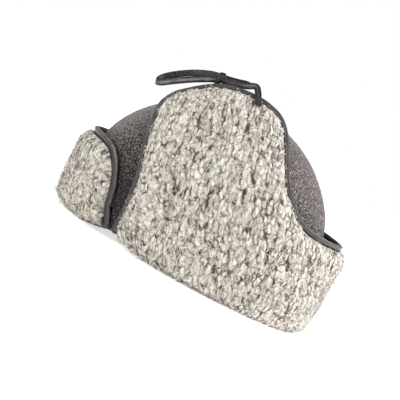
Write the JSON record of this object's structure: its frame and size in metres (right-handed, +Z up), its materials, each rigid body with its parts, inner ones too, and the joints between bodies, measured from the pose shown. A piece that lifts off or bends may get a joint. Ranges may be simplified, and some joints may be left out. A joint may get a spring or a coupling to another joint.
{
  "type": "fur hat",
  "caption": "Sheepskin trapper hat with a domed leather crown, turned-up wool front flap and ear flaps, leather-bound edges and a knotted lace over the top.",
  "frame": {"origin": "middle of the hat at the rim, on the surface that it rests on", "axes": "+Z up, the forehead towards -X, the wearer's left ear towards -Y"},
  "size_m": [0.277, 0.23, 0.1837],
  "materials": {
    "crown_leather": "pebbled grey-brown leather, satin",
    "wool": "curly grey-cream sheep's wool",
    "binding_leather": "smooth dark brown-grey leather strip",
    "lace_leather": "smooth dark leather lace"
  },
  "bodies": {
    "root": {"crown_front_left": "crown_leather", "crown_back_left": "crown_leather", "crown_back_right": "crown_leather", "crown_front_right": "crown_leather", "left_ear_flap": "wool", "right_ear_flap": "wool", "front_flap": "wool", "left_flap_binding": "binding_leather", "right_flap_binding": "binding_leather", "front_flap_binding": "binding_leather", "tie_lace": "lace_leather"}
  },
  "joints": []
}
